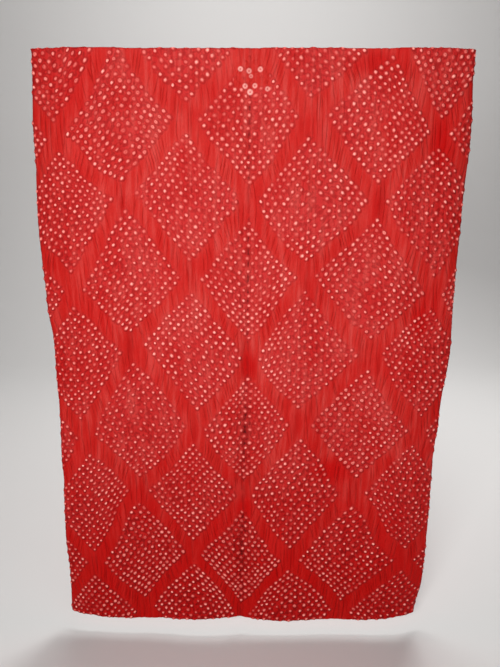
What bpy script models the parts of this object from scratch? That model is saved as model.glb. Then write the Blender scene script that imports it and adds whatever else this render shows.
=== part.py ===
"""A bandhani cloth: a long light tie-dyed cloth hanging by its top edge.

Metres, +Z up. The origin is the middle of the top edge, the cloth hangs down
from it along -Z, and its face is towards -Y. It is one thin sheet. It was
folded in half along its length and tied in hundreds of small knots before it
was dyed, so it hangs with a crease down its middle, slack hollows between the
tied diamonds and side edges that turn back a little.
"""
import math

import bmesh
import bpy
import numpy as np

# The cloth's own sizes
LENGTH = 1.34
THICKNESS = 0.0018
SHARP_ANGLE = math.radians(50)
COLOUR = (0.52, 0.026, 0.020, 1.0)
ROUGHNESS = 0.72

# Cells across the width and down the length, and how much closer together the
# cells are by the middle crease and the side edges
CELLS_ACROSS = 48
CELLS_DOWN = 32
GATHER = 0.4

# Reach of each side edge from the middle of the top edge, down the cloth
OUTLINE = [
    # depth, left, right
    (0.00, 0.444, 0.461),
    (0.18, 0.455, 0.467),
    (0.34, 0.459, 0.460),
    (0.52, 0.454, 0.456),
    (0.62, 0.447, 0.457),
    (0.80, 0.446, 0.445),
    (0.90, 0.449, 0.438),
    (1.12, 0.457, 0.436),
    (1.23, 0.455, 0.434),
    (1.34, 0.458, 0.420),
]

# The crease down the middle, which drifts to the left as it falls
CREASE_WIDTH = 0.011
CREASE = [
    # depth, across, sink
    (0.00, 0.000, 0.004),
    (0.30, -0.003, 0.003),
    (0.62, -0.005, 0.009),
    (0.80, -0.011, 0.010),
    (1.00, -0.017, 0.007),
    (1.17, -0.020, 0.009),
    (1.34, -0.024, 0.005),
]

# Soft folds that run down the cloth. A positive sink goes back, away from
# the face, and a negative one stands forward.
LONG_FOLDS = [
    # across at top, across at foot, top, foot, half width, sink
    (-0.330, -0.350, -0.20, 0.80, 0.070, -0.013),
    (-0.215, -0.255, -0.20, 1.60, 0.048, 0.009),
    (-0.100, -0.130, 0.05, 1.60, 0.055, -0.013),
    (0.110, 0.075, -0.20, 1.60, 0.060, -0.013),
    (0.262, 0.240, 0.12, 0.56, 0.028, 0.006),
    (0.230, 0.190, 0.66, 1.10, 0.032, 0.006),
    (0.335, 0.325, -0.20, 1.60, 0.060, -0.012),
    (0.412, 0.350, 0.02, 0.42, 0.026, 0.007),
    (0.385, 0.360, 0.36, 0.66, 0.026, 0.005),
    (-0.385, -0.400, 0.70, 1.60, 0.050, 0.009),
    (0.062, 0.045, 0.84, 1.10, 0.020, 0.005),
    (-0.270, -0.275, 0.52, 0.76, 0.018, 0.006),
    (-0.268, -0.274, 0.22, 0.40, 0.018, 0.005),
    (0.238, 0.240, 0.52, 0.74, 0.018, 0.005),
]

# Soft folds that run across the cloth, where it sags between the ties
CROSS_FOLDS = [
    # across, depth, half length, half height, slope, sink
    (0.280, 0.030, 0.130, 0.026, 0.16, 0.006),
    (-0.270, 0.060, 0.140, 0.034, -0.10, 0.004),
    (-0.160, 0.560, 0.110, 0.030, -0.55, 0.004),
    (0.150, 0.560, 0.110, 0.030, 0.55, 0.004),
    (-0.170, 1.060, 0.120, 0.032, -0.50, 0.005),
    (0.140, 1.060, 0.110, 0.032, 0.50, 0.004),
]

# The side edges turn back, more in some places than in others
SIDE_TURN_WIDTH = 0.034
SIDE_TURN = [
    # depth, left, right
    (0.00, 0.012, 0.018),
    (0.20, 0.017, 0.025),
    (0.42, 0.012, 0.020),
    (0.62, 0.017, 0.013),
    (0.85, 0.010, 0.017),
    (1.10, 0.015, 0.012),
    (1.34, 0.020, 0.018),
]

# The foot edge hangs a little uneven, which dies away up the cloth
FOOT_REACH = 0.15
FOOT_EDGE = [
    # share across, drop
    (0.00, -0.006),
    (0.14, 0.002),
    (0.30, 0.000),
    (0.48, -0.005),
    (0.60, 0.003),
    (0.84, 0.001),
    (1.00, -0.007),
]


def read_curve(table, column, place):
    """A smooth value at a place between the rows of a table, by its first column."""
    rows = [(row[0], row[column]) for row in table]
    if place <= rows[0][0]:
        return rows[0][1]
    for (before, start), (after, end) in zip(rows, rows[1:]):
        if place <= after:
            share = (place - before) / (after - before)
            eased = 0.5 - 0.5 * math.cos(math.pi * share)
            return start + (end - start) * eased
    return rows[-1][1]


def bell(offset, half_width):
    """A smooth bump, 1 in its middle."""
    return math.exp(-0.5 * (offset / half_width) ** 2)


def fade(depth, top, foot):
    """How strong a fold is at a depth: 0 at its ends, 1 in its middle."""
    if depth <= top or depth >= foot:
        return 0.0
    return math.sin(math.pi * (depth - top) / (foot - top))


def sink_at(across, depth):
    """How far the middle of the cloth lies behind its hanging line."""
    crease_at = read_curve(CREASE, 1, depth)
    sink = read_curve(CREASE, 2, depth) * bell(across - crease_at, CREASE_WIDTH)
    for at_top, at_foot, top, foot, half_width, fold_sink in LONG_FOLDS:
        share = (depth - top) / (foot - top)
        middle = at_top + (at_foot - at_top) * share
        sink += fold_sink * bell(across - middle, half_width) * fade(depth, top, foot)
    for at_across, at_depth, half_length, half_height, slope, fold_sink in CROSS_FOLDS:
        along = across - at_across
        drop = depth - at_depth - slope * along
        sink += fold_sink * bell(along, half_length) * bell(drop, half_height)
    left = read_curve(OUTLINE, 1, depth)
    right = read_curve(OUTLINE, 2, depth)
    left_turn = read_curve(SIDE_TURN, 1, depth)
    right_turn = read_curve(SIDE_TURN, 2, depth)
    sink += left_turn * math.exp(-(across + left) / SIDE_TURN_WIDTH)
    sink += right_turn * math.exp(-(right - across) / SIDE_TURN_WIDTH)
    return sink


def across_shares():
    """Places across the width from 0 to 1, closer together by the crease and sides."""
    even = np.linspace(0.0, 1.0, CELLS_ACROSS + 1)
    return even - GATHER * np.sin(4.0 * math.pi * even) / (4.0 * math.pi)


def sheet_grid():
    """Points of the cloth's middle surface, row by row from the top edge."""
    rows = []
    for row in range(CELLS_DOWN + 1):
        depth = LENGTH * row / CELLS_DOWN
        left = read_curve(OUTLINE, 1, depth)
        right = read_curve(OUTLINE, 2, depth)
        points = []
        for share in across_shares():
            across = -left + (left + right) * share
            drop = read_curve(FOOT_EDGE, 1, share) * bell(LENGTH - depth, FOOT_REACH)
            points.append((across, sink_at(across, depth), -depth - drop))
        rows.append(points)
    return np.array(rows)


def surface_normals(grid):
    """Unit normals of a grid of points, towards the back of the cloth."""
    along = np.gradient(grid, axis=1)
    down = np.gradient(grid, axis=0)
    normals = np.cross(along, down)
    return normals / np.linalg.norm(normals, axis=2, keepdims=True)


def make_material(name, colour, roughness):
    """A plain dyed finish."""
    material = bpy.data.materials.new(name)
    material.use_nodes = True
    shader = material.node_tree.nodes["Principled BSDF"]
    shader.inputs["Base Color"].default_value = colour
    shader.inputs["Roughness"].default_value = roughness
    shader.inputs["Metallic"].default_value = 0.0
    return material


def make_cloth():
    """The whole cloth as one closed sheet, its face in front and its back behind."""
    middle = sheet_grid()
    offset = surface_normals(middle) * THICKNESS / 2
    mesh = bmesh.new()
    front = [[mesh.verts.new(point) for point in row] for row in middle - offset]
    back = [[mesh.verts.new(point) for point in row] for row in middle + offset]
    last_row = len(front) - 1
    last_column = len(front[0]) - 1
    for row in range(last_row):
        for column in range(last_column):
            here, right = (row, column), (row, column + 1)
            below, across = (row + 1, column), (row + 1, column + 1)
            corners = [here, below, across, right]
            mesh.faces.new([front[r][c] for r, c in corners])
            mesh.faces.new([back[r][c] for r, c in reversed(corners)])
    border = [(0, column) for column in range(last_column)]
    border += [(row, last_column) for row in range(last_row)]
    border += [(last_row, column) for column in range(last_column, 0, -1)]
    border += [(row, 0) for row in range(last_row, 0, -1)]
    for (row, column), (next_row, next_column) in zip(border, border[1:] + border[:1]):
        mesh.faces.new([
            front[row][column],
            front[next_row][next_column],
            back[next_row][next_column],
            back[row][column],
        ])
    data = bpy.data.meshes.new("cloth")
    mesh.to_mesh(data)
    mesh.free()
    data.shade_smooth()
    data.set_sharp_from_angle(angle=SHARP_ANGLE)
    data.materials.append(make_material("cloth", COLOUR, ROUGHNESS))
    cloth = bpy.data.objects.new("cloth", data)
    bpy.context.scene.collection.objects.link(cloth)
    return cloth


for old_object in list(bpy.data.objects):
    bpy.data.objects.remove(old_object, do_unlink=True)

make_cloth()
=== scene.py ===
"""The looks of a hanging bandhani cloth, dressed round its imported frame."""
import math

import bpy
import numpy as np
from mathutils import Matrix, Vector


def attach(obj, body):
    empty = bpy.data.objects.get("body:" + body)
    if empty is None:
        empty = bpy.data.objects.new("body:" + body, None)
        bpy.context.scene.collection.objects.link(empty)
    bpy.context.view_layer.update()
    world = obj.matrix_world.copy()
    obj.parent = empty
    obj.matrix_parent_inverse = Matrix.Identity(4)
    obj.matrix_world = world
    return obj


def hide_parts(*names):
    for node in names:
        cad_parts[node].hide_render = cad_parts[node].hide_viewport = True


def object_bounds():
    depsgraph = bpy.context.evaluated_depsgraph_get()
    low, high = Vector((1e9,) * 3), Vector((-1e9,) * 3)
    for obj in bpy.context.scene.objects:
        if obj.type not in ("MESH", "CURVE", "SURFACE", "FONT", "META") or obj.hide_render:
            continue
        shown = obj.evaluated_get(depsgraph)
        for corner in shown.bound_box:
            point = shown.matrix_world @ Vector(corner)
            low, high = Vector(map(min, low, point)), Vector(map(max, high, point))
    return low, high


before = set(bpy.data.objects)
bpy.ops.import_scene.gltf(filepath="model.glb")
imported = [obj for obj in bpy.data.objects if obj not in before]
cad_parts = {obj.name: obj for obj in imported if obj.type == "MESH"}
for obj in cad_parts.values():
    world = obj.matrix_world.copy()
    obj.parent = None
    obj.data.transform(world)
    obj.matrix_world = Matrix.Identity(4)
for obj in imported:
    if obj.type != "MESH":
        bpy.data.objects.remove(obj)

cad_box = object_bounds()


# The cloth: one light woven panel that was folded in half along its length,
# tied in thousands of tiny knots and dyed red. It hangs by its top edge, still
# puckered at the ties and crinkled in the slack bands between them.

LENGTH = 1.34
CUT_WIDTH = 1.00
CUT_LENGTH = 1.41

# Reach of each side edge from the middle of the top edge, down the cloth
OUTLINE = [
    # depth, left, right
    (0.00, 0.444, 0.461),
    (0.18, 0.455, 0.467),
    (0.34, 0.459, 0.460),
    (0.52, 0.454, 0.456),
    (0.62, 0.447, 0.457),
    (0.80, 0.446, 0.445),
    (0.90, 0.449, 0.438),
    (1.12, 0.457, 0.436),
    (1.23, 0.455, 0.434),
    (1.34, 0.458, 0.420),
]

# The crease down the middle, which drifts to the left as it falls
CREASE_WIDTH = 0.011
CREASE = [
    # depth, across, sink
    (0.00, 0.000, 0.004),
    (0.30, -0.003, 0.003),
    (0.62, -0.005, 0.009),
    (0.80, -0.011, 0.010),
    (1.00, -0.017, 0.007),
    (1.17, -0.020, 0.009),
    (1.34, -0.024, 0.005),
]

# Soft folds that run down the cloth. A positive sink goes back, away from
# the face, and a negative one stands forward.
LONG_FOLDS = [
    # across at top, across at foot, top, foot, half width, sink
    (-0.330, -0.350, -0.20, 0.80, 0.070, -0.013),
    (-0.215, -0.255, -0.20, 1.60, 0.048, 0.009),
    (-0.100, -0.130, 0.05, 1.60, 0.055, -0.013),
    (0.110, 0.075, -0.20, 1.60, 0.060, -0.013),
    (0.262, 0.240, 0.12, 0.56, 0.028, 0.006),
    (0.230, 0.190, 0.66, 1.10, 0.032, 0.006),
    (0.335, 0.325, -0.20, 1.60, 0.060, -0.012),
    (0.412, 0.350, 0.02, 0.42, 0.026, 0.007),
    (0.385, 0.360, 0.36, 0.66, 0.026, 0.005),
    (-0.385, -0.400, 0.70, 1.60, 0.050, 0.009),
    (0.062, 0.045, 0.84, 1.10, 0.020, 0.005),
]

# Short narrow creases, where the cloth is drawn in between the tips of two
# tied diamonds that stand one above the other
TIP_CREASES = [
    # across at top, across at foot, top, foot, half width, sink
    (-0.268, -0.274, 0.24, 0.36, 0.0045, 0.0035),
    (-0.268, -0.273, 0.56, 0.70, 0.0040, 0.0045),
    (-0.252, -0.256, 0.93, 1.04, 0.0040, 0.0030),
    (0.282, 0.276, 0.24, 0.37, 0.0050, 0.0040),
    (0.250, 0.252, 0.57, 0.70, 0.0040, 0.0040),
    (0.248, 0.244, 0.92, 1.04, 0.0045, 0.0035),
    (-0.132, -0.124, 0.40, 0.52, 0.0045, 0.0030),
    (0.132, 0.120, 0.41, 0.53, 0.0045, 0.0035),
    (-0.130, -0.128, 0.76, 0.88, 0.0040, 0.0035),
    (0.108, 0.106, 0.76, 0.88, 0.0040, 0.0030),
]

# Soft folds that run across the cloth, where it sags between the ties
CROSS_FOLDS = [
    # across, depth, half length, half height, slope, sink
    (0.280, 0.030, 0.130, 0.026, 0.16, 0.006),
    (-0.270, 0.060, 0.140, 0.034, -0.10, 0.004),
    (-0.160, 0.560, 0.110, 0.030, -0.55, 0.004),
    (0.150, 0.560, 0.110, 0.030, 0.55, 0.004),
    (-0.170, 1.060, 0.120, 0.032, -0.50, 0.005),
    (0.140, 1.060, 0.110, 0.032, 0.50, 0.004),
]

# The side edges turn back, more in some places than in others
SIDE_TURN_WIDTH = 0.034
SIDE_TURN = [
    # depth, left, right
    (0.00, 0.012, 0.018),
    (0.20, 0.017, 0.025),
    (0.42, 0.012, 0.020),
    (0.62, 0.017, 0.013),
    (0.85, 0.010, 0.017),
    (1.10, 0.015, 0.012),
    (1.34, 0.020, 0.018),
]


def read_curve(table, column, place):
    """Smooth values at places between the rows of a table, by its first column."""
    rows = np.array(table)
    before = np.clip(np.searchsorted(rows[:, 0], place, side="right") - 1, 0, len(rows) - 2)
    gap = rows[before + 1, 0] - rows[before, 0]
    share = np.clip((place - rows[before, 0]) / gap, 0.0, 1.0)
    eased = 0.5 - 0.5 * np.cos(math.pi * share)
    return rows[before, column] + (rows[before + 1, column] - rows[before, column]) * eased


def bell(offset, half_width):
    """A smooth bump, 1 in its middle."""
    return np.exp(-0.5 * (offset / half_width) ** 2)


def folds_down(folds, across, depth):
    """The sink of a table of folds that run down the cloth."""
    sink = np.zeros_like(across)
    for at_top, at_foot, top, foot, half_width, fold_sink in folds:
        share = np.clip((depth - top) / (foot - top), 0.0, 1.0)
        middle = at_top + (at_foot - at_top) * share
        sink += fold_sink * bell(across - middle, half_width) * np.sin(math.pi * share)
    return sink


def sink_at(across, depth):
    """How far the cloth lies behind its hanging line, in its main folds."""
    crease_at = read_curve(CREASE, 1, depth)
    sink = read_curve(CREASE, 2, depth) * bell(across - crease_at, CREASE_WIDTH)
    sink += folds_down(LONG_FOLDS + TIP_CREASES, across, depth)
    for at_across, at_depth, half_length, half_height, slope, fold_sink in CROSS_FOLDS:
        along = across - at_across
        drop = depth - at_depth - slope * along
        sink += fold_sink * bell(along, half_length) * bell(drop, half_height)
    left_gap = across + read_curve(OUTLINE, 1, depth)
    right_gap = read_curve(OUTLINE, 2, depth) - across
    sink += read_curve(SIDE_TURN, 1, depth) * np.exp(-left_gap / SIDE_TURN_WIDTH)
    sink += read_curve(SIDE_TURN, 2, depth) * np.exp(-right_gap / SIDE_TURN_WIDTH)
    return sink


# What has rolled out of sight behind each side edge
ROLL_RADIUS = 0.004
SIDE_ROLL = [
    # depth, left, right
    (0.00, 0.026, 0.040),
    (0.30, 0.020, 0.034),
    (0.62, 0.012, 0.016),
    (0.95, 0.008, 0.010),
    (1.34, 0.006, 0.007),
]

# The hems at the top and the foot are turned to the back. The rows of the grid
# stand closer together there, at these distances from the hem's end.
HEM_TURN = 0.012
HEM_RADIUS = 0.0014
HEM_STEPS = (0.0000, 0.0012, 0.0024, 0.0036, 0.0048, 0.0070, 0.0100, 0.0134)

# The foot edge hangs a little uneven, which dies away up the cloth
FOOT_REACH = 0.15
FOOT_EDGE = [
    # share across, drop
    (0.00, -0.006),
    (0.14, 0.002),
    (0.30, 0.000),
    (0.48, -0.005),
    (0.60, 0.003),
    (0.84, 0.001),
    (1.00, -0.007),
]


def turn_back(beyond, radius):
    """A sheet turned back round a small radius: its reach past the turn's start, and its offset."""
    angle = np.clip(beyond / radius, 0.0, math.pi)
    returned = np.maximum(beyond - math.pi * radius, 0.0)
    reach = np.where(beyond > 0.0, radius * np.sin(angle) - returned, beyond)
    return reach, radius * (1.0 - np.cos(angle))


def hung_points(share, flat_depth):
    """Where points of the cut cloth hang, without their crinkles, and how far across it they are."""
    above, above_offset = turn_back(HEM_RADIUS - flat_depth, HEM_RADIUS)
    below, below_offset = turn_back(flat_depth - LENGTH + HEM_RADIUS, HEM_RADIUS)
    depth = np.where(flat_depth < LENGTH / 2, HEM_RADIUS - above, LENGTH - HEM_RADIUS + below)
    left = read_curve(OUTLINE, 1, depth)
    right = read_curve(OUTLINE, 2, depth)
    left_roll = read_curve(SIDE_ROLL, 1, depth)
    right_roll = read_curve(SIDE_ROLL, 2, depth)
    flat_across = share * (left_roll + left + right + right_roll) - left_roll - left
    to_left, left_offset = turn_back(ROLL_RADIUS - left - flat_across, ROLL_RADIUS)
    to_right, right_offset = turn_back(flat_across - right + ROLL_RADIUS, ROLL_RADIUS)
    across = np.where(share < 0.5, ROLL_RADIUS - left - to_left, right - ROLL_RADIUS + to_right)
    offset = above_offset + below_offset + left_offset + right_offset
    drop = read_curve(FOOT_EDGE, 1, share) * bell(LENGTH - depth, FOOT_REACH)
    points = np.stack([across, sink_at(across, depth) + offset, -depth - drop], axis=-1)
    return points, flat_across


# The tied diamonds stand in half-drop rows. A row lies at each whole number
# of the row table, and a column at each whole number of the column table,
# measured from the middle crease.
FIRST_ROW = -1
ROW_DEPTHS = (-0.190, -0.025, 0.142, 0.300, 0.474, 0.640, 0.820, 0.990, 1.160, 1.315, 1.480)
COLUMNS = [
    # column, across at top, across at foot, drop at top, drop at foot
    (-4, -0.522, -0.478, 0.034, 0.042),
    (-3, -0.397, -0.362, 0.024, 0.029),
    (-2, -0.274, -0.236, -0.013, -0.005),
    (-1, -0.134, -0.114, -0.010, -0.017),
    (0, 0.000, 0.000, 0.000, 0.000),
    (1, 0.130, 0.124, -0.006, -0.006),
    (2, 0.285, 0.254, 0.000, -0.004),
    (3, 0.404, 0.390, 0.025, 0.008),
    (4, 0.524, 0.522, 0.022, 0.024),
]

# The middle crease draws its own diamonds down
MIDDLE_REACH = 0.45
MIDDLE_DROP = [
    # depth, drop
    (0.27, 0.000),
    (0.34, 0.014),
    (0.60, 0.008),
    (0.69, 0.030),
    (0.82, 0.010),
    (0.95, 0.000),
    (1.03, 0.024),
    (1.30, 0.018),
]

# A diamond's size in columns and rows, and how far its sides bulge
TIES_PER_SIDE = 12
LAST_TIE = TIES_PER_SIDE - 1
FIELD_HALF_WIDTH = 0.79
FIELD_HALF_HEIGHT = 0.76
TIE_ACROSS = FIELD_HALF_WIDTH / LAST_TIE
TIE_DOWN = FIELD_HALF_HEIGHT / LAST_TIE
FIELD_FULLNESS = 0.010

# Half way from one tie to the next, and as far from the middle crease
HALF_WAY = 0.5
BY_THE_CREASE = HALF_WAY * TIE_ACROSS

# The diamonds on the middle crease are narrower than the others, and the ties
# on the crease don't stray from it
NARROWING = 0.09
NARROWING_REACH = 0.9
CREASE_REACH = 0.12

# Hand tying strays from the even rows, in soft waves and from tie to tie
STRAYS = [
    # columns, rows, waves per column, waves per row, seed
    (0.0950, 0.0800, 1.3, 1.3, 11),
    (0.0086, 0.0083, 6.0, 7.0, 13),
]
TIE_STRAY = 0.14
TIE_STRAY_SEED = 15
CHANCES = 4093
NOISE_SIZE = 256

# Each tie's own number is made of its diamond's two numbers, both moved above
# zero, and its place along both sides of the diamond
NUMBER_SHIFT = 50
NUMBERS_EACH_WAY = 100
NUMBERS_PER_FIELD = 1000
NUMBERS_PER_SIDE = 20

# How far a point of the grid may slide to lie on a tie, in cells, and how many
# points along each side edge stay where they are
SLIDE = 0.6
KEPT_POINTS = 2


def soft_noise(across, down, seed):
    """Smooth noise from -1 to 1, with a new value at each whole number."""
    table = np.random.default_rng(seed).uniform(-1.0, 1.0, (NOISE_SIZE, NOISE_SIZE))
    column = np.floor(across).astype(int)
    row = np.floor(down).astype(int)
    x = across - column
    y = down - row
    x = x * x * (3.0 - 2.0 * x)
    y = y * y * (3.0 - 2.0 * y)
    left = column % NOISE_SIZE
    right = (column + 1) % NOISE_SIZE
    here = row % NOISE_SIZE
    below = (row + 1) % NOISE_SIZE
    upper = table[here, left] * (1 - x) + table[here, right] * x
    lower = table[below, left] * (1 - x) + table[below, right] * x
    return upper * (1 - y) + lower * y


def nearest_ties(columns, rows):
    """Each point's nearest tie, by its number, and how far off it is along both sides."""
    field_slant = np.round((columns + rows - 1.0) / 2.0)
    field_slope = np.round((columns - rows + 1.0) / 2.0)
    off_across = (columns - field_slant - field_slope) / TIE_ACROSS
    off_down = (rows - field_slant + field_slope - 1.0) / TIE_DOWN
    along = (off_across + off_down + LAST_TIE) / 2.0
    against = (off_across - off_down + LAST_TIE) / 2.0
    tie_along = np.clip(np.round(along), 0, LAST_TIE)
    tie_against = np.clip(np.round(against), 0, LAST_TIE)
    field = (field_slant + NUMBER_SHIFT) * NUMBERS_EACH_WAY + field_slope + NUMBER_SHIFT
    number = field * NUMBERS_PER_FIELD + tie_along * NUMBERS_PER_SIDE + tie_against
    return number.astype(np.int64), along - tie_along, against - tie_against


def shifted_gap(gap, shift):
    """A gap moved by a shift, kept on its own side of half way."""
    inside = np.clip(gap + shift, -HALF_WAY, HALF_WAY)
    beyond = np.sign(gap) * np.maximum(np.abs(gap + shift), HALF_WAY)
    return np.where(np.abs(gap) <= HALF_WAY, inside, beyond)


def scatter_ties(columns, rows):
    """Shift the pattern round each tie a little, by chance, and not past half way to the next."""
    number, gap_along, gap_against = nearest_ties(columns, rows)
    chance = np.random.default_rng(TIE_STRAY_SEED).uniform(-TIE_STRAY, TIE_STRAY, (2, CHANCES))
    key = number % CHANCES
    off_crease = 1.0 - bell(columns, BY_THE_CREASE)
    moved_along = (shifted_gap(gap_along, chance[0, key]) - gap_along) * off_crease
    moved_against = (shifted_gap(gap_against, chance[1, key]) - gap_against) * off_crease
    columns = columns + (moved_along + moved_against) * TIE_ACROSS
    return columns, rows + (moved_along - moved_against) * TIE_DOWN


def tie_places(flat_across, flat_depth):
    """Column and row numbers of points, with the unevenness of hand tying."""
    crease_at = read_curve(CREASE, 1, flat_depth)
    down_share = flat_depth / LENGTH
    numbers, at_top, at_foot, drop_at_top, drop_at_foot = np.array(COLUMNS).T
    columns = np.zeros_like(flat_across)
    for index in range(len(flat_across)):
        places = at_top + (at_foot - at_top) * down_share[index, 0]
        columns[index] = np.interp(flat_across[index] - crease_at[index], places, numbers)
    drop = np.interp(columns, numbers, drop_at_top) * (1.0 - down_share)
    drop += np.interp(columns, numbers, drop_at_foot) * down_share
    drop += read_curve(MIDDLE_DROP, 1, flat_depth) * bell(columns, MIDDLE_REACH)
    rows = np.interp(flat_depth - drop, ROW_DEPTHS, np.arange(len(ROW_DEPTHS)) + FIRST_ROW)
    narrowed = columns * (1.0 + NARROWING * np.exp(-(columns / NARROWING_REACH) ** 2))
    off_crease = 1.0 - bell(columns, CREASE_REACH)
    strayed_columns = narrowed.copy()
    strayed_rows = rows.copy()
    for by_columns, by_rows, column_waves, row_waves, seed in STRAYS:
        here = (narrowed * column_waves, rows * row_waves)
        strayed_columns += by_columns * soft_noise(*here, seed) * off_crease
        strayed_rows += by_rows * soft_noise(*here, seed + 1)
    slant = (strayed_columns + strayed_rows - 1.0) / 2.0
    slope = (strayed_columns - strayed_rows + 1.0) / 2.0
    full_slant = np.sin(2 * math.pi * slant) * (1 + np.cos(2 * math.pi * slope))
    full_slope = np.sin(2 * math.pi * slope) * (1 + np.cos(2 * math.pi * slant))
    slant -= FIELD_FULLNESS * full_slant
    slope -= FIELD_FULLNESS * full_slope
    return scatter_ties(slant + slope, slant - slope + 1.0)


def closest_points(number, distance):
    """True at the one point of the grid that lies closest to each tie, if it is close enough."""
    order = np.lexsort((distance.ravel(), number.ravel()))
    sorted_numbers = number.ravel()[order]
    first = np.append(True, sorted_numbers[1:] != sorted_numbers[:-1])
    chosen = order[first]
    chosen = chosen[distance.ravel()[chosen] < HALF_WAY]
    closest = np.zeros(number.size, dtype=bool)
    closest[chosen] = True
    closest = closest.reshape(number.shape)
    closest[:len(HEM_STEPS) + 1] = False
    closest[-len(HEM_STEPS) - 1:] = False
    closest[:, :KEPT_POINTS] = False
    closest[:, -KEPT_POINTS:] = False
    return closest


def move_to_ties(share, flat_depth):
    """Slide the nearest point of the grid onto each tie."""
    _, flat_across = hung_points(share, flat_depth)
    columns, rows = tie_places(flat_across, flat_depth)
    number, gap_along, gap_against = nearest_ties(columns, rows)
    gap_across = gap_along + gap_against
    gap_down = gap_along - gap_against
    picked = closest_points(number, np.hypot(gap_across, gap_down))
    column_down, column_across = np.gradient(columns)
    row_down, row_across = np.gradient(rows)
    need_across = -gap_across * TIE_ACROSS
    need_down = -gap_down * TIE_DOWN
    spread = column_across * row_down - column_down * row_across
    step_across = (need_across * row_down - need_down * column_down) / spread
    step_down = (need_down * column_across - need_across * row_across) / spread
    share_step = np.gradient(share, axis=1)
    depth_step = np.gradient(flat_depth, axis=0)
    share = share + np.where(picked, np.clip(step_across, -SLIDE, SLIDE) * share_step, 0.0)
    flat_depth = flat_depth + np.where(picked, np.clip(step_down, -SLIDE, SLIDE) * depth_step, 0.0)
    return share, flat_depth


# The fine creases: two sets of lines that run down the cloth
CRINKLES = [
    # pitch, wobble, wobble across, wobble down, length, depth, seed
    (0.0120, 0.70, 0.040, 0.110, 0.085, 0.0013, 22),
    (0.0070, 0.80, 0.030, 0.080, 0.055, 0.0009, 25),
]
CRINKLE_LEAN = 0.006
CRINKLE_MEAN = 0.40
CRINKLE_SHARPNESS = 1.6

# They are weak among the ties and full in the slack bands
OFF_FIELD = (-0.4, 0.8)
CRINKLE_SHARE = (0.22, 1.0)


def crinkle_lines(flat_across, flat_depth, columns, rows, off_field):
    """For each set of fine creases: which one each point is by, how strong it is there, its depth.

    They lean so as to cross the slack bands, from one tied diamond to the next.
    """
    to_slant = np.sin(math.pi * (columns + rows - 1.0))
    to_slope = np.sin(math.pi * (columns - rows + 1.0))
    across = flat_across + CRINKLE_LEAN * (to_slant + to_slope)
    slack = np.interp(off_field, OFF_FIELD, CRINKLE_SHARE)
    sets = []
    for pitch, wobble, wobble_across, wobble_down, length, depth, seed in CRINKLES:
        sway = wobble * soft_noise(flat_across / wobble_across, flat_depth / wobble_down, seed)
        line = across / pitch + sway
        strength = CRINKLE_MEAN + soft_noise(line, flat_depth / length, seed + 1)
        sets.append((line, np.clip(strength, 0.0, 1.0) * slack, depth))
    return sets


def crinkle_profile(line):
    """1 on each crease line, down to 0 half way to the next."""
    return (1.0 - np.abs(np.sin(math.pi * line))) ** CRINKLE_SHARPNESS


# Cells of the sheet between the side edges, and between the two hems
CELLS_ACROSS = 300
CELLS_DOWN = 312

# Each tie stands up in a small pucker
PUCKER_HEIGHT = 0.0024
PUCKER_REACH = 0.62

# Between the folds and the fine creases the cloth waves softly
SOFT_WAVE = 0.0009
WAVE_ACROSS = 0.016
WAVE_DOWN = 0.070
WAVE_SEED = 31

# A dip below the cloth round it, this many points each way, is darkened with painted shade. The
# tips' creases count in part.
DIP_BLUR = 3
DEEPEST_DIP = 0.0038
TIP_CREASE_SHARE = 0.5

# A tie's usual place, from its middle to the next one's in the same diagonal,
# and the most that a tie's place may be, in shares of it
TIE_PITCH = 0.0104
WIDEST_TIE = 2.0
TIE_SIZE_BLUR = 4


def cloth_grid():
    """Shares across and cut depths of the grid, closer together in the hems."""
    across = np.linspace(0.0, 1.0, CELLS_ACROSS + 1)
    hem = np.array(HEM_STEPS)
    middle = np.linspace(0.0, LENGTH, CELLS_DOWN + 1)[1:-1]
    down = np.concatenate([hem - HEM_TURN, middle, LENGTH + HEM_TURN - hem[::-1]])
    share, flat_depth = np.meshgrid(across, down)
    return share, flat_depth


def unit_normals(points):
    """Normals of a grid of points, towards the face of the cloth."""
    along = np.gradient(points, axis=1)
    down = np.gradient(points, axis=0)
    normals = np.cross(down, along)
    return normals / np.linalg.norm(normals, axis=2, keepdims=True)


def box_blur(values, reach):
    """Mean over a square of grid points."""
    padded = np.pad(values, reach, mode="edge")
    total = np.zeros_like(values)
    size = 2 * reach + 1
    for down in range(size):
        for across in range(size):
            total += padded[down:down + values.shape[0], across:across + values.shape[1]]
    return total / size ** 2


def tie_sizes(flat_across, flat_depth, columns, rows):
    """How wide and how high one tie's place is at each point, in shares of TIE_PITCH."""
    width = np.gradient(flat_across, axis=1) / np.gradient(columns, axis=1) * TIE_ACROSS
    height = np.gradient(flat_depth, axis=0) / np.gradient(rows, axis=0) * TIE_DOWN
    sizes = []
    for size in (width, height):
        kept = np.clip(size, 0.0, WIDEST_TIE * TIE_PITCH)
        sizes.append(box_blur(kept, TIE_SIZE_BLUR) / TIE_PITCH)
    return np.stack(sizes, axis=-1)


def sheet_mesh(name, points):
    """A mesh with a four-sided face in each cell of a grid of points."""
    row_length = points.shape[1]
    first = np.arange(points.shape[0] - 1)[:, None] * row_length + np.arange(row_length - 1)
    first = first.ravel()
    faces = np.stack([first, first + row_length, first + row_length + 1, first + 1], axis=1)
    mesh = bpy.data.meshes.new(name)
    mesh.from_pydata(points.reshape(-1, 3).tolist(), [], faces.tolist())
    mesh.shade_smooth()
    return mesh


def set_corner_map(mesh, name, values):
    """Give a mesh a UV map from one pair of numbers a point."""
    corners = np.zeros(len(mesh.loops), dtype=np.int32)
    mesh.loops.foreach_get("vertex_index", corners)
    layer = mesh.uv_layers.new(name=name)
    layer.data.foreach_set("uv", values.reshape(-1, 2)[corners].astype(np.float32).ravel())


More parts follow.
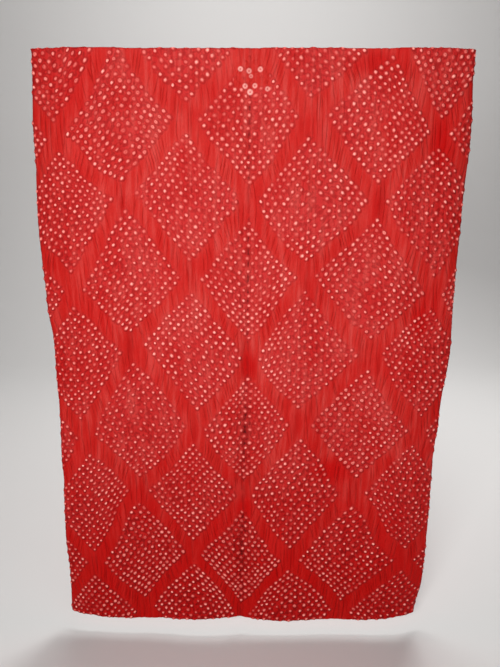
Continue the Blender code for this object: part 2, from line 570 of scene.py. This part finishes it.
def make_cloth():
    """The whole cloth as one open sheet, with the maps that its material reads."""
    share, flat_depth = move_to_ties(*cloth_grid())
    points, flat_across = hung_points(share, flat_depth)
    columns, rows = tie_places(flat_across, flat_depth)
    _, gap_along, gap_against = nearest_ties(columns, rows)
    distance = np.hypot(gap_along + gap_against, gap_along - gap_against)
    off_field = np.maximum(np.abs(gap_along), np.abs(gap_against)) - HALF_WAY
    crinkles = crinkle_lines(flat_across, flat_depth, columns, rows, off_field)
    lines, strengths, depths = zip(*crinkles)

    height = PUCKER_HEIGHT * np.clip(1.0 - distance / PUCKER_REACH, 0.0, 1.0)
    height += SOFT_WAVE * soft_noise(flat_across / WAVE_ACROSS, flat_depth / WAVE_DOWN, WAVE_SEED)
    for line, strength, depth in zip(lines, strengths, depths):
        height -= depth * strength * crinkle_profile(line)
    points = points + unit_normals(points) * height[..., None]
    # The hollow mask paints shade into the colour where the cloth dips below its surroundings and
    # along the tip creases.
    dip = box_blur(height, DIP_BLUR) - height
    dip += TIP_CREASE_SHARE * folds_down(TIP_CREASES, flat_across, flat_depth)
    hollow_shade = np.clip(dip / DEEPEST_DIP, 0.0, 1.0)

    mesh = sheet_mesh("cloth_sheet", points)
    cut = np.stack([share * CUT_WIDTH, flat_depth * CUT_LENGTH / LENGTH], axis=-1)
    set_corner_map(mesh, "ties", np.stack([columns, rows], axis=-1))
    set_corner_map(mesh, "cut", cut)
    set_corner_map(mesh, "creases", np.stack(lines, axis=-1))
    set_corner_map(mesh, "tie_sizes", tie_sizes(flat_across, flat_depth, columns, rows))
    tones = np.stack([*strengths, hollow_shade], axis=-1)
    layer = mesh.attributes.new("tones", "FLOAT_VECTOR", "POINT")
    layer.data.foreach_set("vector", tones.astype(np.float32).ravel())
    piece = bpy.data.objects.new("cloth_sheet", mesh)
    bpy.context.scene.collection.objects.link(piece)
    return piece


class Nodes:
    """Short ways to add nodes to one material."""

    def __init__(self, tree):
        self.tree = tree

    def node(self, kind, **settings):
        """A new node with its properties set."""
        made = self.tree.nodes.new(kind)
        for name, value in settings.items():
            setattr(made, name, value)
        return made

    def feed(self, socket, value):
        """Link a socket, or set a plain value."""
        if isinstance(value, bpy.types.NodeSocket):
            self.tree.links.new(value, socket)
        else:
            socket.default_value = value

    def do(self, operation, *values):
        """One step of arithmetic."""
        made = self.node("ShaderNodeMath", operation=operation)
        for socket, value in zip(made.inputs, values):
            self.feed(socket, value)
        return made.outputs[0]

    def ease(self, value, low, high, to_low=0.0, to_high=1.0):
        """Smooth step from one value to another, as the first goes from low to high."""
        made = self.node("ShaderNodeMapRange", interpolation_type="SMOOTHSTEP")
        for socket, number in zip(made.inputs, (value, low, high, to_low, to_high)):
            self.feed(socket, number)
        return made.outputs[0]

    def mix(self, share, first, second):
        """Mix two colours."""
        made = self.node("ShaderNodeMix", data_type="RGBA")
        self.feed(made.inputs[0], share)
        self.feed(made.inputs[6], first)
        self.feed(made.inputs[7], second)
        return made.outputs[2]

    def vector(self, x, y, z):
        """Three values as one vector."""
        made = self.node("ShaderNodeCombineXYZ")
        for socket, value in zip(made.inputs, (x, y, z)):
            self.feed(socket, value)
        return made.outputs[0]

    def stretched(self, x, y, by_x, by_y, z=0.0):
        """Two values, each times a number of its own, and a third as one vector."""
        return self.vector(self.do("MULTIPLY", x, by_x), self.do("MULTIPLY", y, by_y), z)

    def split(self, vector):
        """The three values of a vector."""
        made = self.node("ShaderNodeSeparateXYZ")
        self.feed(made.inputs[0], vector)
        return made.outputs[0], made.outputs[1], made.outputs[2]

    def read_map(self, name):
        """The two values of a UV map."""
        x, y, _ = self.split(self.node("ShaderNodeUVMap", uv_map=name).outputs[0])
        return x, y

    def length(self, across, down):
        """Distance from two offsets."""
        squared = self.do("ADD", self.do("POWER", across, 2.0), self.do("POWER", down, 2.0))
        return self.do("SQRT", squared)

    def chance(self, x, y, z):
        """Three chance numbers from 0 to 1 for each place."""
        made = self.node("ShaderNodeTexWhiteNoise", noise_dimensions="3D")
        self.feed(made.inputs["Vector"], self.vector(x, y, z))
        return self.split(made.outputs["Color"])

    def noise(self, vector, scale=1.0, detail=2.0, roughness=0.5):
        """A noise texture's value."""
        made = self.node("ShaderNodeTexNoise")
        self.feed(made.inputs["Vector"], vector)
        self.feed(made.inputs["Scale"], scale)
        self.feed(made.inputs["Detail"], detail)
        self.feed(made.inputs["Roughness"], roughness)
        return made.outputs["Fac"]


# In what follows, four numbers for ease are low, high and the values there, and
# a dot's reaches from the middle of its tie are in shares of TIE_PITCH. The dots
# get a little smaller down the cloth, by rows, and towards its sides, by columns.
DOT_MIDDLE = 0.10
DOT_EDGE = (0.0, 6.0, 0.46, 0.41)
SIDE_DOTS = (1.5, 3.2, 0.00, 0.06)
DOT_SIZES = 0.18
DOT_FRAY = 0.11
RAGGED_ACROSS = 30.0
RAGGED_DOWN = 34.0
# The rim is painted shadow: a dark crescent set below and to one side of each dot, where its pucker's
# shadow falls.
RIM_WIDTH = 0.20
RIM_ASIDE = 0.10
RIM_BELOW = 0.12
CONE = 0.60
BETWEEN = (0.50, 1.0)

# In some diamonds most dots have a dark heart, which makes them wider
HEART = (0.04, 0.28)
HEARTED = (0.95, 1.25, 0.0, 0.50)
HEARTED_BY_TIE = 0.4
HEARTED_WIDER = 0.06

# How pale a dot is: at least, by its worn place, its tie and its diamond
TONE_LEAST = 0.10
TONE_BY_PLACE = 0.70
TONE_BY_TIE = 0.44
TONE_BY_FIELD = 0.25
WORN_PLACES = 2.2
WORN_LAYER = 0.7

# Chance numbers are read on one layer for the ties and another for the diamonds
KEY_SPACING = 16.0
TIE_LAYER = 0.5
FIELD_LAYER = 8.5

# The valleys between the ties are darkened with mottled painted shade, and a diamond and its
# valleys end a little past its outer ties
VALLEY = (0.40, 0.70)
VALLEY_END = (0.1, 0.8, 1.0, 0.0)
FIELD_END = (-0.2, 0.9, 1.0, 0.0)
MOTTLE_SCALE = 20.0
MOTTLE_HEIGHT = 1.2
MOTTLE_LAYER = 0.4
MOTTLE = (0.44, 0.62, 0.00, 1.0)

# The ties on the middle crease lie a little to one side of it or the other
CREASE_STRAY = 0.30

# The diamond at the top of the middle crease has no small ties in its tip
UNTIED_COLUMNS = 0.30
UNTIED_ROWS = (0.60, 0.66, 1.0, 0.0)


def place_in_field(m, columns, rows):
    """A point's tied field and its place along both sides of it, as nearest_ties works them out."""
    slant = m.do("MULTIPLY", m.do("SUBTRACT", m.do("ADD", columns, rows), 1.0), 0.5)
    slope = m.do("MULTIPLY", m.do("ADD", m.do("SUBTRACT", columns, rows), 1.0), 0.5)
    field_slant = m.do("ROUND", slant)
    field_slope = m.do("ROUND", slope)
    middle_across = m.do("ADD", field_slant, field_slope)
    middle_down = m.do("ADD", m.do("SUBTRACT", field_slant, field_slope), 1.0)
    off_across = m.do("DIVIDE", m.do("SUBTRACT", columns, middle_across), TIE_ACROSS)
    off_down = m.do("DIVIDE", m.do("SUBTRACT", rows, middle_down), TIE_DOWN)
    along = m.do("MULTIPLY_ADD", m.do("ADD", off_across, off_down), 0.5, LAST_TIE / 2)
    against = m.do("MULTIPLY_ADD", m.do("SUBTRACT", off_across, off_down), 0.5, LAST_TIE / 2)
    return field_slant, field_slope, along, against


def shift_on_crease(m, columns, gap_across, side):
    """A gap across, with the ties of the middle crease moved to one side of it by chance."""
    tie_column = m.do("MULTIPLY_ADD", gap_across, -TIE_ACROSS, columns)
    on_crease = m.do("LESS_THAN", m.do("ABSOLUTE", tie_column), BY_THE_CREASE)
    to_side = m.do("MULTIPLY_ADD", side, 2.0 * CREASE_STRAY, -CREASE_STRAY)
    return m.do("MULTIPLY_ADD", to_side, on_crease, gap_across)


def dot_edge(m, columns, rows, size, hearted):
    """How far a dot reaches from the middle of its tie."""
    smaller = m.ease(m.do("ABSOLUTE", columns), *SIDE_DOTS)
    edge = m.do("SUBTRACT", m.ease(rows, *DOT_EDGE), smaller)
    edge = m.do("MULTIPLY_ADD", size, DOT_SIZES, edge)
    return m.do("MULTIPLY_ADD", hearted, HEARTED_WIDER, edge)


def dot_tone(m, columns, rows, of_tie, of_field):
    """How pale a dot is, by its place, its tie and its diamond."""
    worn = m.noise(m.vector(columns, rows, WORN_LAYER), WORN_PLACES)
    worn = m.do("MULTIPLY_ADD", worn, TONE_BY_PLACE, TONE_LEAST)
    tone = m.do("MULTIPLY_ADD", of_field, TONE_BY_FIELD, of_tie)
    return m.do("MULTIPLY_ADD", tone, TONE_BY_TIE, worn)


def tied_part(m, columns, rows):
    """1 on the tied cloth, 0 in the tip that has no small ties."""
    tip_columns = m.do("LESS_THAN", m.do("ABSOLUTE", columns), UNTIED_COLUMNS)
    return m.do("SUBTRACT", 1.0, m.do("MULTIPLY", tip_columns, m.ease(rows, *UNTIED_ROWS)))


def past_outer_ties(m, along, against):
    """How far a point lies outside the outermost ties of its diamond, below 0 inside them."""
    half = LAST_TIE / 2
    from_middle_along = m.do("ABSOLUTE", m.do("SUBTRACT", along, half))
    from_middle_against = m.do("ABSOLUTE", m.do("SUBTRACT", against, half))
    return m.do("SUBTRACT", m.do("MAXIMUM", from_middle_along, from_middle_against), half)


def tie_marks(m):
    """Masks of the dots, their rims of painted shadow, the painted shade in the valleys, the field
    and cones, and of what lies between two ties.
    """
    columns, rows = m.read_map("ties")
    field_slant, field_slope, along, against = place_in_field(m, columns, rows)
    tie_along = m.do("MINIMUM", m.do("MAXIMUM", m.do("ROUND", along), 0.0), LAST_TIE)
    tie_against = m.do("MINIMUM", m.do("MAXIMUM", m.do("ROUND", against), 0.0), LAST_TIE)
    gap_along = m.do("SUBTRACT", along, tie_along)
    gap_against = m.do("SUBTRACT", against, tie_against)
    key_along = m.do("MULTIPLY_ADD", field_slant, KEY_SPACING, tie_along)
    key_against = m.do("MULTIPLY_ADD", field_slope, KEY_SPACING, tie_against)
    size, of_tie, side = m.chance(key_along, key_against, TIE_LAYER)
    _, of_field, _ = m.chance(field_slant, field_slope, FIELD_LAYER)

    gap_across = shift_on_crease(m, columns, m.do("ADD", gap_along, gap_against), side)
    gap_down = m.do("SUBTRACT", gap_along, gap_against)
    width, height = m.read_map("tie_sizes")
    true_across = m.do("MULTIPLY", gap_across, width)
    true_down = m.do("MULTIPLY", gap_down, height)
    distance = m.length(true_across, true_down)
    ragged = m.noise(m.stretched(columns, rows, RAGGED_ACROSS, RAGGED_DOWN))
    fray = m.do("MULTIPLY_ADD", ragged, 2.0 * DOT_FRAY, -DOT_FRAY)
    frayed = m.do("ADD", distance, fray)
    hearted = m.ease(m.do("MULTIPLY_ADD", side, HEARTED_BY_TIE, of_field), *HEARTED)
    edge = dot_edge(m, columns, rows, size, hearted)
    tone = dot_tone(m, columns, rows, of_tie, of_field)
    pale = m.do("MULTIPLY", m.ease(frayed, DOT_MIDDLE, edge, 1.0, 0.0), tone)
    heart = m.ease(distance, *HEART, hearted, 0.0)
    pale = m.do("MULTIPLY", pale, m.do("SUBTRACT", 1.0, heart))
    # Painted shadow of the pucker, a crescent offset from the dot.
    rim_across = m.do("SUBTRACT", true_across, RIM_ASIDE)
    rim_down = m.do("SUBTRACT", true_down, RIM_BELOW)
    from_rim = m.do("ADD", m.length(rim_across, rim_down), fray)
    rim_shadow = m.ease(from_rim, edge, m.do("ADD", edge, RIM_WIDTH), tone, 0.0)

    outside = past_outer_ties(m, along, against)
    mottled = m.noise(m.stretched(columns, rows, 1.0, MOTTLE_HEIGHT, MOTTLE_LAYER), MOTTLE_SCALE, 1.0)
    # Painted shade in the valleys between the puckered ties, mottled.
    valley_shade = m.do("MULTIPLY", m.ease(frayed, *VALLEY), m.ease(outside, *VALLEY_END))
    valley_shade = m.do("MULTIPLY", valley_shade, m.ease(mottled, *MOTTLE))
    tied = tied_part(m, columns, rows)
    marks = {"pale": pale, "rim_shadow": rim_shadow, "valley_shade": valley_shade, "field": m.ease(outside, *FIELD_END)}
    marks = {name: m.do("MULTIPLY", mask, tied) for name, mask in marks.items()}
    marks["cone"] = m.ease(distance, 0.0, CONE, 1.0, 0.0)
    marks["between"] = m.ease(distance, *BETWEEN)
    return marks


# The fine creases are drawn sharper than they stand, darkened partly for dye gathered in them and
# partly as painted shade.
# The middle crease is a row of dark dashes of painted shade, stronger and wider further down, by
# rows.
LINE_SHARPNESS = 3.0
DASHES_ACROSS = 18.0
DASHES_DOWN = 11.0
DASHES = (0.32, 0.56, 0.15, 1.0)
DASH_STRENGTH = (0.5, 5.5, 0.60, 0.85)
DASH_MIDDLE = 0.002
DASH_HALF_WIDTH = (3.5, 5.0, 0.045, 0.095)


def crease_marks(m):
    """Masks of the fine creases, of the middle crease's dashes of painted shade, and of the painted
    shade in the hollows.
    """
    columns, rows = m.read_map("ties")
    first, second = m.read_map("creases")
    tones = m.node("ShaderNodeAttribute", attribute_name="tones")
    first_strength, second_strength, hollow_shade = m.split(tones.outputs["Vector"])
    drawn = []
    # The fine crease lines, drawn darker in colour: partly dye gathered in them, partly painted
    # shade.
    for line, strength in ((first, first_strength), (second, second_strength)):
        wave = m.do("ABSOLUTE", m.do("SINE", m.do("MULTIPLY", line, math.pi)))
        sharp = m.do("POWER", m.do("SUBTRACT", 1.0, wave), LINE_SHARPNESS)
        drawn.append(m.do("MULTIPLY", sharp, strength))
    # The middle crease's dark dashes are painted shade.
    broken = m.noise(m.stretched(columns, rows, DASHES_ACROSS, DASHES_DOWN))
    strength = m.do("MULTIPLY", m.ease(broken, *DASHES), m.ease(rows, *DASH_STRENGTH))
    half_width = m.ease(rows, *DASH_HALF_WIDTH)
    middle = m.ease(m.do("ABSOLUTE", columns), DASH_MIDDLE, half_width, strength, 0.0)
    return {"crease": m.do("MAXIMUM", *drawn), "middle": middle, "hollow_shade": hollow_shade}


# Places, mostly in the folds and on the middle crease, where the red goes deeper, partly by deeper
# dye and partly by painted shade, in metres from the middle of the top edge, and where each starts
# and ends to fade, in half sizes
DEEP_FADE = (0.3, 1.8)
SHADED_DEEP_PLACES = [
    # across, depth, half width, half height, strength
    (-0.004, 0.670, 0.016, 0.036, 0.9),
    (-0.014, 1.030, 0.020, 0.030, 0.9),
    (-0.002, 0.330, 0.012, 0.040, 0.4),
    (0.268, 0.328, 0.020, 0.050, 0.6),
    (0.400, 0.190, 0.020, 0.055, 0.9),
    (0.379, 0.566, 0.018, 0.040, 0.9),
    (0.190, 0.930, 0.045, 0.030, 0.9),
    (0.260, 0.030, 0.060, 0.022, 0.7),
    (-0.300, 0.420, 0.020, 0.055, 0.5),
    (-0.360, 0.090, 0.030, 0.040, 0.4),
    (-0.200, 0.920, 0.040, 0.030, 0.4),
]

# The large ring knots near the top of the middle crease, with darker hearts
RING_FADE = (0.55, 1.2)
RING_HEART = (0.1, 0.6, 0.3, 1.0)
RINGS = [
    # across, depth, radius, strength
    (-0.0195, 0.0405, 0.0054, 0.85),
    (-0.0020, 0.0440, 0.0058, 0.60),
    (0.0020, 0.0540, 0.0046, 0.45),
    (0.0210, 0.0415, 0.0056, 0.75),
    (-0.0100, 0.0730, 0.0056, 0.80),
    (0.0100, 0.0725, 0.0054, 0.75),
    (0.0002, 0.0845, 0.0062, 1.00),
    (0.0355, 0.0790, 0.0052, 0.65),
]


def offset_from(m, across, depth, half_width, half_height):
    """How far a point is from a place on the hung cloth, in half sizes."""
    x, _, z = m.split(m.node("ShaderNodeTexCoord").outputs["Object"])
    off_across = m.do("MULTIPLY_ADD", x, 1.0 / half_width, -across / half_width)
    off_down = m.do("MULTIPLY_ADD", z, 1.0 / half_height, depth / half_height)
    return m.length(off_across, off_down)


def shaded_deep_places(m):
    """Mask of the places, mostly in the folds and on the crease, where the red is deeper: partly
    deeper dye, partly painted shade.
    """
    total = 0.0
    for across, depth, half_width, half_height, strength in SHADED_DEEP_PLACES:
        far = offset_from(m, across, depth, half_width, half_height)
        total = m.do("MAXIMUM", total, m.ease(far, *DEEP_FADE, strength, 0.0))
    return total


def ring_marks(m):
    """Mask of the large ring knots near the top of the middle crease."""
    total = 0.0
    for across, depth, radius, strength in RINGS:
        far = offset_from(m, across, depth, radius, radius)
        ring = m.do("MULTIPLY", m.ease(far, *RING_HEART), m.ease(far, *RING_FADE, strength, 0.0))
        total = m.do("MAXIMUM", total, ring)
    return total


# The dye's reds and what it left pale
# The reds at the top carry a pale haze of painted sheen; those at the foot are darker, partly by
# deeper dye and partly by painted shade.
BAND_RED = (0.515, 0.019, 0.015, 1.0)
BAND_RED_AT_FOOT = (0.415, 0.002, 0.001, 1.0)
FIELD_RED = (0.545, 0.026, 0.025, 1.0)
FIELD_RED_AT_FOOT = (0.415, 0.003, 0.003, 1.0)
SHEEN_AND_FADED_RED = (0.520, 0.052, 0.044, 1.0)
DEEP_AND_SHADED_RED = (0.460, 0.001, 0.001, 1.0)
PAINTED_SHADE_RED = (0.150, 0.001, 0.001, 1.0)
MIDDLE_SHADE_RED = (0.050, 0.002, 0.002, 1.0)
PINK = (0.950, 0.126, 0.108, 1.0)
PALE = (1.000, 0.450, 0.380, 1.0)
PALE_ONLY = 3.0
RING_PALE = (0.900, 0.400, 0.350, 1.0)

# The red gets darker towards the foot, by share of the length, and towards the
# side edges, by share of the width from the middle: partly deeper dye, partly painted shade
DEEPER_DOWN = (0.42, 0.95)
DEEPER_ASIDE = (0.20, 0.50, 0.0, 0.55)

# Weave, slubs in the yarn, and streaks and patches in the dye, for each metre,
# and the detail and roughness of the streaks and slubs
THREADS = 2200.0
SLUBS_ACROSS = 420.0
SLUBS_DOWN = 160.0
SLUB_GRAIN = (2.0, 0.6)
STREAKS_ACROSS = 85.0
STREAKS_DOWN = 8.0
STREAK_GRAIN = (4.0, 0.6)
PATCHES = 13.0
PATCH_HEIGHT = 0.6
PATCH_LAYER = 0.3

# What the streaks, slubs and patches do to the dye. The streaks are partly faded dye and partly
# painted sheen: paler and hazier towards the top, and brighter along their ridges.
SHEEN_AND_FADE = (0.42, 0.66, 0.0, 0.85)
LESS_SHEEN_AND_FADE_WHERE_DEEPER = 0.9
UNEVEN = (0.58, 0.35, 0.0, 0.45)
BRIGHT_LEAST = 0.63
BRIGHT_BY_SLUB = 0.34
BRIGHT_BY_STREAK_AND_SHEEN = 0.40

# How far each kind of painted shade goes towards the dark shade red
SHADES = [
    # mark, share, further share where the red is darker by deeper dye and painted shade
    ("crease", 0.20, 0.26),
    ("hollow_shade", 0.40, 0.00),
    ("rim_shadow", 0.46, 0.26),
    ("valley_shade", 0.38, 0.30),
]

# The dark dashes of painted shade on the middle crease: their share in the slack bands, and what
# is added to it in a diamond, on a tie and between two
MIDDLE_SHARE = 0.35
MIDDLE_ON_TIE = -0.05
MIDDLE_BETWEEN_TIES = 0.70

ROUGHNESS = 0.58
ROUGHER_BY_STREAK = 0.2
SHEEN = 0.025
SHEEN_ROUGHNESS = 0.35
SHEEN_TINT = (1.0, 0.80, 0.76, 1.0)
SPECULAR = 0.08

# Relief that is finer than the mesh: strength and distance of each bump, and how
# much the creases and the streaks count in the second one
WEAVE_BUMP = (0.35, 0.0001)
FINE_BUMP = (0.8, 0.0022)
CREASE_FURROW = -0.8
STREAK_RIDGE = 0.5


def dye_and_shade_depth(m, cut_x, cut_y):
    """How much darker the red is than at the top of the middle, from 0 to 1: partly deeper dye,
    partly painted shade.
    """
    down = m.ease(m.do("DIVIDE", cut_y, CUT_LENGTH), *DEEPER_DOWN)
    from_middle = m.do("ABSOLUTE", m.do("SUBTRACT", m.do("DIVIDE", cut_x, CUT_WIDTH), 0.5))
    return m.do("MAXIMUM", down, m.ease(from_middle, *DEEPER_ASIDE))


def dyed_ground(m, field, deeper_dye_and_shade, cut_x, cut_y, streaks):
    """The red that lies under all marks, with its streaks of faded dye and painted sheen, slubs,
    patches, and deep places of deeper dye and painted shade.
    """
    band_red = m.mix(deeper_dye_and_shade, BAND_RED, BAND_RED_AT_FOOT)
    field_red = m.mix(deeper_dye_and_shade, FIELD_RED, FIELD_RED_AT_FOOT)
    colour = m.mix(field, band_red, field_red)
    # Partly painted sheen: along the streaks the red turns paler and hazier, less so down the cloth
    # and at the sides, and brighter.
    sheen_and_fade_left = m.do("MULTIPLY_ADD", deeper_dye_and_shade, -LESS_SHEEN_AND_FADE_WHERE_DEEPER, 1.0)
    colour = m.mix(m.do("MULTIPLY", m.ease(streaks, *SHEEN_AND_FADE), sheen_and_fade_left), colour, SHEEN_AND_FADED_RED)
    patches = m.noise(m.stretched(cut_x, cut_y, 1.0, PATCH_HEIGHT, PATCH_LAYER), PATCHES)
    uneven = m.ease(patches, *UNEVEN)
    colour = m.mix(m.do("MAXIMUM", uneven, shaded_deep_places(m)), colour, DEEP_AND_SHADED_RED)
    slubs = m.noise(m.stretched(cut_x, cut_y, SLUBS_ACROSS, SLUBS_DOWN), 1.0, *SLUB_GRAIN)
    brightness = m.do("MULTIPLY_ADD", slubs, BRIGHT_BY_SLUB, BRIGHT_LEAST)
    brightness = m.do("MULTIPLY_ADD", streaks, BRIGHT_BY_STREAK_AND_SHEEN, brightness)
    tone = m.node("ShaderNodeHueSaturation")
    m.feed(tone.inputs["Value"], brightness)
    m.feed(tone.inputs["Color"], colour)
    return tone.outputs[0]


def marked_colour(m, colour, marks, deeper_dye_and_shade):
    """The ground with painted shade in its creases, hollows and valleys and round the dots' rims,
    painted shade dashes on the middle crease, and the dots and ring knots on it.
    """
    # Painted shade: the creases, hollows, valleys and dots' rims darken the colour towards a deep
    # red.
    shade = 0.0
    for name, share, further in SHADES:
        strength = m.do("MULTIPLY_ADD", deeper_dye_and_shade, further, share)
        shade = m.do("MAXIMUM", shade, m.do("MULTIPLY", marks[name], strength))
    colour = m.mix(shade, colour, PAINTED_SHADE_RED)
    # Dark dashes of painted shade down the middle crease, stronger between the ties.
    in_field = m.do("MULTIPLY_ADD", marks["between"], MIDDLE_BETWEEN_TIES, MIDDLE_ON_TIE)
    middle = m.do("MULTIPLY_ADD", marks["field"], in_field, MIDDLE_SHARE)
    colour = m.mix(m.do("MULTIPLY", marks["middle"], middle), colour, MIDDLE_SHADE_RED)
    colour = m.mix(marks["pale"], colour, PINK)
    colour = m.mix(m.do("POWER", marks["pale"], PALE_ONLY), colour, PALE)
    return m.mix(ring_marks(m), colour, RING_PALE)


def add_bump(m, strength, distance, height):
    """A bump node with its strength and distance set, fed with a height."""
    made = m.node("ShaderNodeBump")
    made.inputs["Strength"].default_value = strength
    made.inputs["Distance"].default_value = distance
    m.feed(made.inputs["Height"], height)
    return made


def fine_relief(m, marks, cut_x, cut_y, streaks):
    """The normal of the weave, with the cones, furrows and ridges that are finer than the mesh."""
    weft = m.do("SINE", m.do("MULTIPLY", cut_x, THREADS * 2.0 * math.pi))
    warp = m.do("SINE", m.do("MULTIPLY", cut_y, THREADS * 2.0 * math.pi))
    weave = add_bump(m, *WEAVE_BUMP, m.do("MULTIPLY", weft, warp))
    ridge = m.do("MULTIPLY", streaks, STREAK_RIDGE)
    furrow = m.do("MULTIPLY_ADD", marks["crease"], CREASE_FURROW, ridge)
    fine = add_bump(m, *FINE_BUMP, m.do("ADD", marks["cone"], furrow))
    m.feed(fine.inputs["Normal"], weave.outputs[0])
    return fine.outputs[0]


def cloth_material():
    """Soft dyed cotton silk: red, with pale dots where the ties kept the dye out."""
    material = bpy.data.materials.new("dyed_cloth")
    material.use_nodes = True
    m = Nodes(material.node_tree)
    shader = material.node_tree.nodes["Principled BSDF"]
    marks = tie_marks(m) | crease_marks(m)
    cut_x, cut_y = m.read_map("cut")
    streaks = m.noise(m.stretched(cut_x, cut_y, STREAKS_ACROSS, STREAKS_DOWN), 1.0, *STREAK_GRAIN)
    deeper_dye_and_shade = dye_and_shade_depth(m, cut_x, cut_y)
    ground = dyed_ground(m, marks["field"], deeper_dye_and_shade, cut_x, cut_y, streaks)
    m.feed(shader.inputs["Base Color"], marked_colour(m, ground, marks, deeper_dye_and_shade))
    m.feed(shader.inputs["Roughness"], m.do("MULTIPLY_ADD", streaks, ROUGHER_BY_STREAK, ROUGHNESS))
    m.feed(shader.inputs["Normal"], fine_relief(m, marks, cut_x, cut_y, streaks))
    shader.inputs["Sheen Weight"].default_value = SHEEN
    shader.inputs["Sheen Roughness"].default_value = SHEEN_ROUGHNESS
    shader.inputs["Sheen Tint"].default_value = SHEEN_TINT
    shader.inputs["Specular IOR Level"].default_value = SPECULAR
    return material


cloth = make_cloth()
cloth.data.materials.append(cloth_material())
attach(cloth, "root")
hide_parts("cloth")


# The stage: a pale floor that curves up into a pale wall behind the cloth and
# another one far in front of it, not part of the object.

FLOOR_BELOW = 0.035
STAGE_HALF_WIDTH = 40.0
FRONT_WALL = -9.0
BACK_WALL = 3.6
STAGE_BEND = 1.4
STAGE_HEIGHT = 20.0
BEND_STEPS = 24
STAGE_COLOUR = (0.62, 0.61, 0.60, 1.0)
STAGE_ROUGHNESS = 0.9


def wall_profile(wall, floor):
    """Places and heights from the top of a wall down to where its bend meets the floor."""
    profile = [(wall, floor + STAGE_HEIGHT)]
    for step in range(BEND_STEPS, -1, -1):
        angle = 0.5 * math.pi * step / BEND_STEPS
        inwards = STAGE_BEND * (1.0 - math.sin(angle))
        height = STAGE_BEND * (1.0 - math.cos(angle))
        profile.append((wall - math.copysign(inwards, wall), floor + height))
    return profile


def make_stage():
    """A floor and its two walls in one bent sheet."""
    floor = cad_box[0][2] - FLOOR_BELOW
    profile = wall_profile(FRONT_WALL, floor) + wall_profile(BACK_WALL, floor)[::-1]
    points = [(side * STAGE_HALF_WIDTH, y, z) for y, z in profile for side in (-1, 1)]
    faces = [(2 * i, 2 * i + 1, 2 * i + 3, 2 * i + 2) for i in range(len(profile) - 1)]
    mesh = bpy.data.meshes.new("stage")
    mesh.from_pydata(points, [], faces)
    mesh.shade_smooth()
    stage = bpy.data.objects.new("stage", mesh)
    bpy.context.scene.collection.objects.link(stage)
    material = bpy.data.materials.new("stage_paint")
    material.use_nodes = True
    shader = material.node_tree.nodes["Principled BSDF"]
    shader.inputs["Base Color"].default_value = STAGE_COLOUR
    shader.inputs["Roughness"].default_value = STAGE_ROUGHNESS
    mesh.materials.append(material)
    return stage


make_stage()


# The lights: a soft lamp on the left in front and a weaker one on the right,
# one for the back of the cloth, one for each wall, and a dim even surround.

LAMPS = [
    # name, place, aim, size, watts
    ("key", (-0.40, -1.9, 0.00), (0.0, 0.0, -0.55), 0.6, 40.5),
    ("fill", (1.2, -2.6, 0.3), (0.0, 0.0, -0.6), 2.0, 12.8),
    ("back", (1.0, 1.9, 1.0), (0.0, 0.0, -0.7), 1.2, 40.0),
    ("wall", (0.0, 1.0, 1.6), (0.0, 3.4, -0.4), 1.6, 70.0),
    ("front wall", (0.0, -5.6, 2.0), (0.0, -8.8, -0.6), 2.4, 130.0),
]
SURROUND_COLOUR = (1.0, 1.0, 1.0, 1.0)
SURROUND_STRENGTH = 0.06


def add_lamp(name, place, aim, size, watts):
    """A square soft lamp turned towards a point."""
    data = bpy.data.lights.new(name, "AREA")
    data.size = size
    data.energy = watts
    lamp = bpy.data.objects.new(name, data)
    lamp.location = place
    away = np.array(place) - np.array(aim)
    flat = math.hypot(away[0], away[1])
    lamp.rotation_euler = (math.atan2(flat, away[2]), 0.0, math.atan2(away[0], -away[1]))
    bpy.context.scene.collection.objects.link(lamp)


for lamp in LAMPS:
    add_lamp(*lamp)
world = bpy.data.worlds.new("surround")
bpy.context.scene.world = world
world.use_nodes = True
world.node_tree.nodes["Background"].inputs["Color"].default_value = SURROUND_COLOUR
world.node_tree.nodes["Background"].inputs["Strength"].default_value = SURROUND_STRENGTH
bpy.context.scene.view_settings.view_transform = "Standard"


# The camera stands a little above the middle of the cloth and looks down at it,
# at the photograph's angle.

CAMERA_PLACE = (0.0, -1.348, -0.252)
CAMERA_DOWN = math.radians(14.2)
SENSOR = 36.0
FOCAL_PIXELS = 620.0
PHOTO_HEIGHT = 667.0

camera_data = bpy.data.cameras.new("camera")
camera_data.sensor_width = SENSOR
camera_data.lens = SENSOR * FOCAL_PIXELS / PHOTO_HEIGHT
camera = bpy.data.objects.new("camera", camera_data)
camera.location = CAMERA_PLACE
camera.rotation_euler = (math.pi / 2 - CAMERA_DOWN, 0.0, 0.0)
bpy.context.scene.collection.objects.link(camera)
bpy.context.scene.camera = camera
